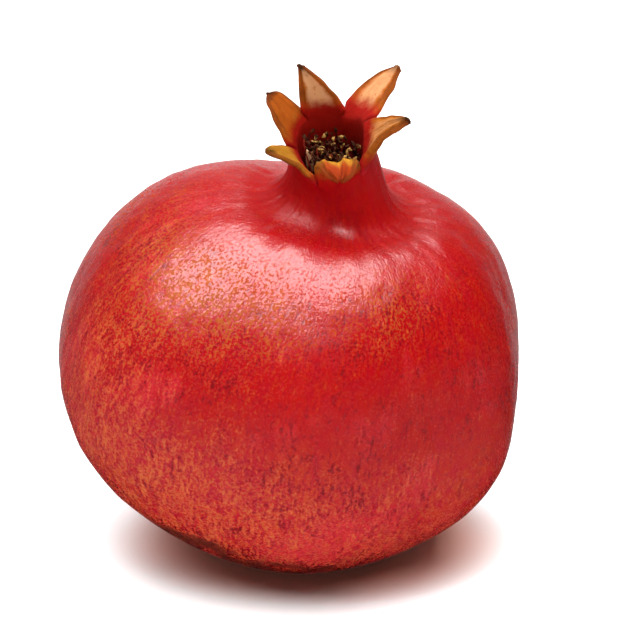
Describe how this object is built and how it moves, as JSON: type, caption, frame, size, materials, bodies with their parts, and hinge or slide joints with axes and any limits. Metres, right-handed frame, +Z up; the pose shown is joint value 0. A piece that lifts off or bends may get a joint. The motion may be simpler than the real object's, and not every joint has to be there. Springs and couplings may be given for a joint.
{
  "type": "pomegranate",
  "caption": "Whole ripe pomegranate with a round, softly ribbed body, a short neck and a dry pointed calyx crown holding a tuft of dried stamens.",
  "frame": {"origin": "on the table under the middle of the fruit's overall box", "axes": "+Z up out of the table, +X to the right and +Y away from the viewer of the picture; the calyx points up, leaning a little to -Y and +X"},
  "size_m": [0.0916, 0.0918, 0.101],
  "materials": {
    "rind": "gloss",
    "dried_stamens": "matte"
  },
  "bodies": {
    "root": {"fruit": "rind", "stamens": "dried_stamens"}
  },
  "joints": []
}
